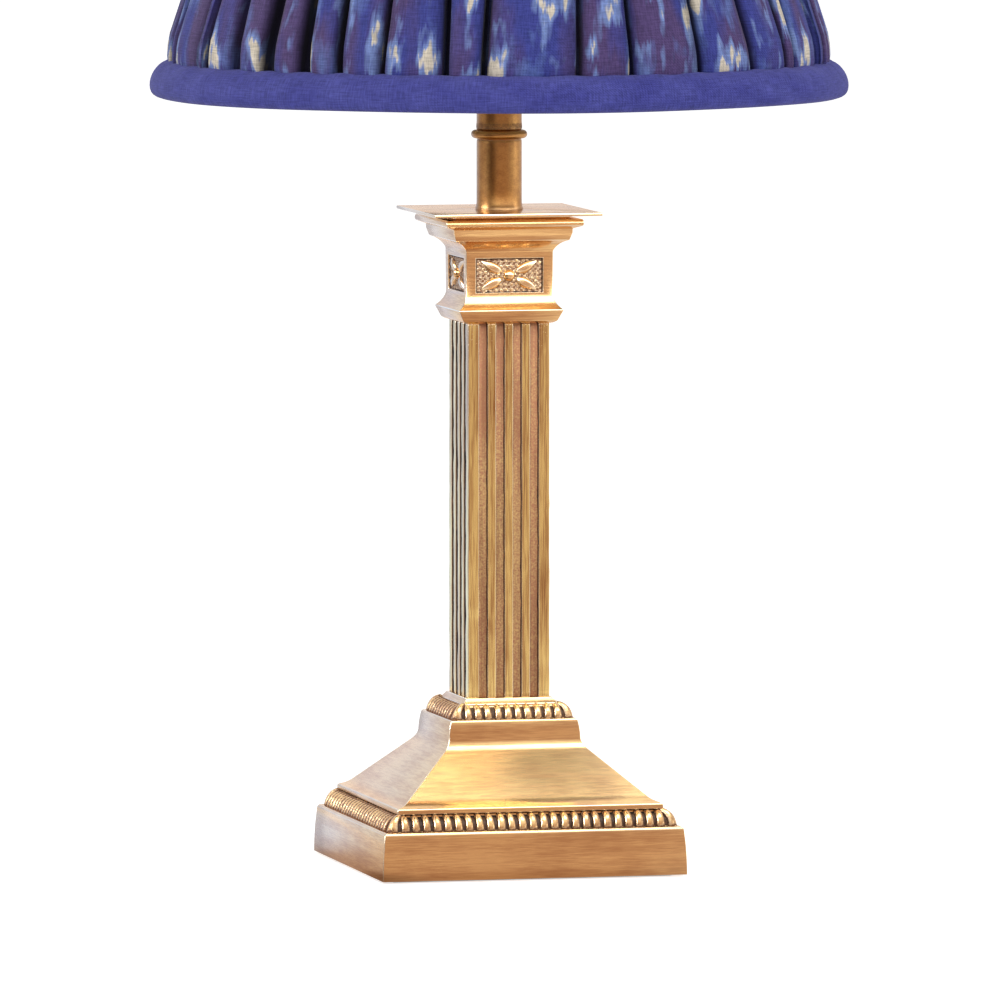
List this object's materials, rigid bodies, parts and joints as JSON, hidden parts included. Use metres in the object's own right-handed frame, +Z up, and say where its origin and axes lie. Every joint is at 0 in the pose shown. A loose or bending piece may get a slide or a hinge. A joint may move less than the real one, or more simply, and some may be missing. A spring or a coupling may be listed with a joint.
{
  "type": "table lamp",
  "caption": "Square stepped brass table lamp with a fluted column, gadrooned base, leaf-panelled capital and a gathered cloth empire shade that turns and tilts.",
  "frame": {"origin": "centre of the felt's underside, on the table", "axes": "+Z up along the column; the front face, the one that the picture shows widest, looks towards -Y; the cord leaves towards +Y"},
  "size_m": [0.202, 0.202, 0.3725],
  "materials": {
    "brass": "antique cast brass, worn bright on its edges and brown in its recesses",
    "brass_dark": "darkened brass tube",
    "brass_bright": "plain turned brass",
    "steel": "zinc-plated steel",
    "nickel": "nickel-plated screw cap",
    "felt": "dark green baize",
    "black_plastic": "black moulded plastic",
    "white_wire": "white coated wire",
    "opal_glass": "opal white glass",
    "ikat_cloth": null,
    "lining_cloth": "plain off-white cotton lining",
    "binding_cloth": "plain indigo linen binding"
  },
  "bodies": {
    "lamp": {"base_casting": "brass", "base_plate": "steel", "base_screws": "steel", "felt_pad": "felt", "cord_bush": "black_plastic", "earth_tag": "brass_bright", "earth_screw": "brass_bright", "threaded_rod": "steel", "rod_washer": "steel", "rod_nut": "steel", "column_shaft": "brass", "capital": "brass", "abacus_plate": "brass", "stem_tube": "brass_dark", "knop_ring": "brass_dark", "upper_tube": "brass_dark", "holder_cap": "brass_bright", "holder_grub_screw": "steel", "holder_sleeve": "brass_bright", "holder_insulator": "black_plastic", "terminal_screws": "brass_bright", "centre_contact": "brass_bright", "screw_shell": "brass_bright"},
    "switch": {"switch_bar": "black_plastic"},
    "clamp_ring": {"shade_ring": "black_plastic"},
    "bulb_carrier": {"bulb_contact": "steel"},
    "bulb": {"bulb_cap": "nickel", "bulb_globe": "opal_glass"},
    "gimbal": {"gimbal_ring": "white_wire", "gimbal_arms": "white_wire"},
    "shade": {"pivot_pins": "white_wire", "shade_top_ring": "white_wire", "shade_bottom_ring": "white_wire", "shade_struts": "white_wire", "shade_cover": "ikat_cloth", "shade_lining": "lining_cloth", "top_binding": "binding_cloth", "bottom_binding": "binding_cloth"}
  },
  "joints": [
    {"name": "switch_slide", "type": "slide", "parent": "lamp", "child": "switch", "axis": [1, 0, 0], "range_m": [0, 0.004]},
    {"name": "ring_turn", "type": "hinge", "parent": "lamp", "child": "clamp_ring", "pos_m": [0, 0, 0.262], "axis": [0, 0, 1], "range_deg": [0, 180]},
    {"name": "bulb_rise", "type": "slide", "parent": "lamp", "child": "bulb_carrier", "axis": [0, 0, 1], "range_m": [0, 0.0141]},
    {"name": "bulb_turn", "type": "hinge", "parent": "bulb_carrier", "child": "bulb", "pos_m": [0, 0, 0.28], "axis": [0, 0, 1], "range_deg": [0, 1800]},
    {"name": "gimbal_turn", "type": "hinge", "parent": "lamp", "child": "gimbal", "pos_m": [0, 0, 0.26], "axis": [0, 0, 1], "continuous": true},
    {"name": "shade_tilt", "type": "hinge", "parent": "gimbal", "child": "shade", "pos_m": [0, 0, 0.3], "axis": [1, 0, 0], "range_deg": [-20, 20]}
  ],
  "couplings": [
    {"joint": "bulb_turn", "follows": "bulb_rise", "rad_per_m": 2228.1}
  ]
}
